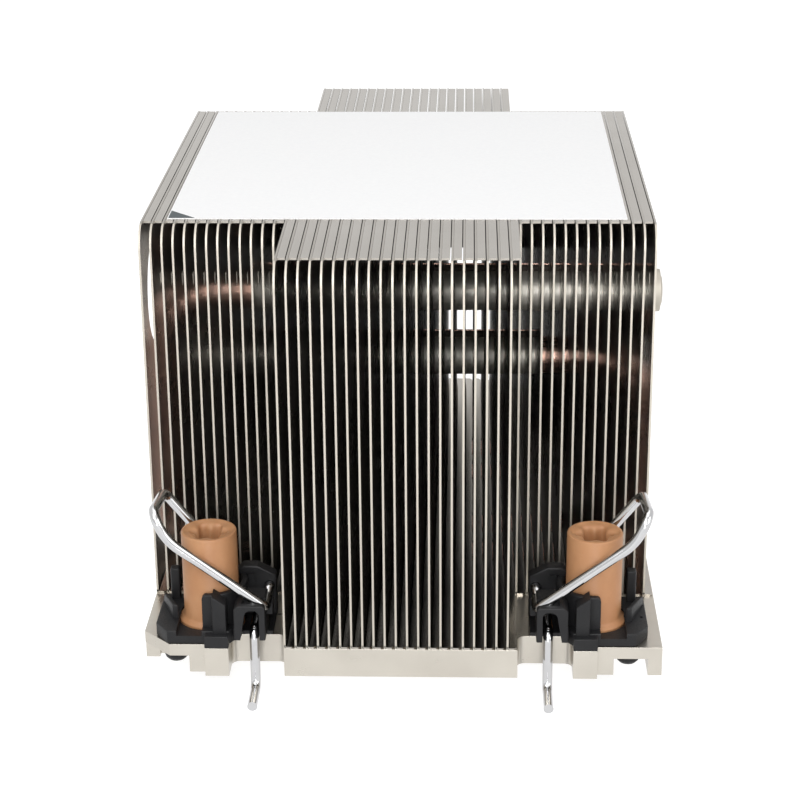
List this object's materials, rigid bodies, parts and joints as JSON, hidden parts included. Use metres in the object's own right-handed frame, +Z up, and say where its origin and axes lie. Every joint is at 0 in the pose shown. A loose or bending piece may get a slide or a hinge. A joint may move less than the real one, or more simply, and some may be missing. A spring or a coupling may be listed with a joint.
{
  "type": "passive server CPU heatsink",
  "caption": "Passive server CPU heatsink with a zipper-fin stack, copper heat pipes, captive nuts and hinged anti-tilt wires on a nickel-plated base.",
  "frame": {"origin": "centre of the processor contact face on the underside of the base plate", "axes": "+Z up from the contact face towards the fin tops; +Y along the airflow towards the rear; -Y is the end with the chamfered pin 1 corner on its left"},
  "size_m": [0.0802, 0.1228, 0.0682],
  "materials": {
    "nickel": "satin",
    "nickel_fins": "satin",
    "copper": "satin",
    "peek": "satin",
    "plastic": "matte",
    "wire": "polished",
    "label": "matte"
  },
  "bodies": {
    "heatsink": {"base_plate": "nickel", "fins_left_1": "nickel_fins", "fins_left_2": "nickel_fins", "fins_left_3": "nickel_fins", "fins_centre_1": "nickel_fins", "fins_centre_2": "nickel_fins", "fins_centre_3": "nickel_fins", "fins_centre_4": "nickel_fins", "fins_centre_5": "nickel_fins", "fins_right_1": "nickel_fins", "fins_right_2": "nickel_fins", "fins_right_3": "nickel_fins", "heat_pipe_upper_front": "copper", "heat_pipe_upper_rear": "copper", "heat_pipe_lower_front": "copper", "heat_pipe_lower_rear": "copper", "retainer_front_left": "plastic", "retainer_front_right": "plastic", "retainer_rear_left": "plastic", "retainer_rear_right": "plastic", "top_label": "label"},
    "nut_front_left": {"nut_front_left": "peek"},
    "wire_front_left": {"anti_tilt_wire_front_left": "wire"},
    "nut_front_right": {"nut_front_right": "peek"},
    "wire_front_right": {"anti_tilt_wire_front_right": "wire"},
    "nut_rear_left": {"nut_rear_left": "peek"},
    "wire_rear_left": {"anti_tilt_wire_rear_left": "wire"},
    "nut_rear_right": {"nut_rear_right": "peek"},
    "wire_rear_right": {"anti_tilt_wire_rear_right": "wire"}
  },
  "joints": [
    {"name": "nut_front_left_turn", "type": "hinge", "parent": "heatsink", "child": "nut_front_left", "pos_m": [-0.029, -0.049, 0.0046], "axis": [0, 0, 1], "continuous": true},
    {"name": "wire_front_left_swing", "type": "hinge", "parent": "heatsink", "child": "wire_front_left", "pos_m": [-0.0203, -0.0484, 0.0099], "axis": [0, 1, 0], "range_deg": [0, 12]},
    {"name": "nut_front_right_turn", "type": "hinge", "parent": "heatsink", "child": "nut_front_right", "pos_m": [0.029, -0.049, 0.0046], "axis": [0, 0, 1], "continuous": true},
    {"name": "wire_front_right_swing", "type": "hinge", "parent": "heatsink", "child": "wire_front_right", "pos_m": [0.0203, -0.0484, 0.0099], "axis": [0, -1, 0], "range_deg": [0, 12]},
    {"name": "nut_rear_left_turn", "type": "hinge", "parent": "heatsink", "child": "nut_rear_left", "pos_m": [-0.029, 0.049, 0.0046], "axis": [0, 0, 1], "continuous": true},
    {"name": "wire_rear_left_swing", "type": "hinge", "parent": "heatsink", "child": "wire_rear_left", "pos_m": [-0.0203, 0.0484, 0.0099], "axis": [0, 1, 0], "range_deg": [0, 12]},
    {"name": "nut_rear_right_turn", "type": "hinge", "parent": "heatsink", "child": "nut_rear_right", "pos_m": [0.029, 0.049, 0.0046], "axis": [0, 0, 1], "continuous": true},
    {"name": "wire_rear_right_swing", "type": "hinge", "parent": "heatsink", "child": "wire_rear_right", "pos_m": [0.0203, 0.0484, 0.0099], "axis": [0, -1, 0], "range_deg": [0, 12]}
  ]
}
